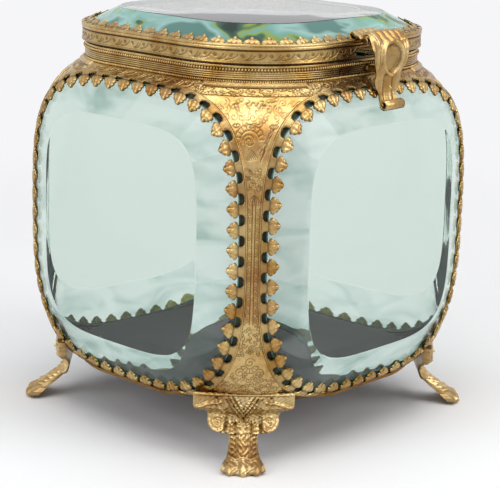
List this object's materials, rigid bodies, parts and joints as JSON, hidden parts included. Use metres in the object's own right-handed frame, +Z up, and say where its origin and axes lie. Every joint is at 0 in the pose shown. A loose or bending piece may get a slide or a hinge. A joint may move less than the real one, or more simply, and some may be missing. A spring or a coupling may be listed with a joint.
{
  "type": "glass casket box",
  "caption": "Square keepsake casket with bevelled glass sides and a hinged glass lid held by pierced gilt brass prong galleries, a hanging clasp and splayed feet.",
  "frame": {"origin": "on the ground plane, midway between the four feet", "axes": "+Z up, the clasp side faces -Y, the lid hinge is on the +Y side"},
  "size_m": [0.1046, 0.1055, 0.119],
  "materials": {
    "gilt_brass": "stamped and gilt, softly worn",
    "worn_gilt_brass": "gilt worn to brown brass",
    "bevelled_glass": "polished, pale green tint",
    "stained_wood": "dark stain, matt",
    "black_velvet": "short pile velvet"
  },
  "bodies": {
    "casket": {"corner_post_front_left": "gilt_brass", "corner_post_front_right": "gilt_brass", "corner_post_back_left": "gilt_brass", "corner_post_back_right": "gilt_brass", "prong_gallery_front": "gilt_brass", "prong_gallery_back": "gilt_brass", "prong_gallery_left": "gilt_brass", "prong_gallery_right": "gilt_brass", "shoulder_collar": "gilt_brass", "neck_band": "gilt_brass", "foot_front_left": "gilt_brass", "foot_front_right": "gilt_brass", "foot_back_left": "gilt_brass", "foot_back_right": "gilt_brass", "catch_stud": "gilt_brass", "base_rim": "worn_gilt_brass", "hinge_leaf_neck": "worn_gilt_brass", "hinge_pin": "worn_gilt_brass", "glass_front": "bevelled_glass", "glass_back": "bevelled_glass", "glass_left": "bevelled_glass", "glass_right": "bevelled_glass", "base_board": "stained_wood", "floor_pad": "black_velvet"},
    "lid": {"lid_band": "gilt_brass", "lid_prong_gallery": "gilt_brass", "lid_glass": "bevelled_glass", "hinge_leaf_lid": "worn_gilt_brass", "clasp_bracket": "gilt_brass", "clasp_pin": "worn_gilt_brass"},
    "clasp": {"clasp": "gilt_brass"}
  },
  "joints": [
    {"name": "lid_hinge", "type": "hinge", "parent": "casket", "child": "lid", "pos_m": [0, 0.045, 0.10925], "axis": [-1, 0, 0], "range_deg": [0, 100]},
    {"name": "clasp_hinge", "type": "hinge", "parent": "lid", "child": "clasp", "pos_m": [0.0018, -0.0454, 0.1143], "axis": [-1, 0, 0], "range_deg": [0, 50]}
  ]
}
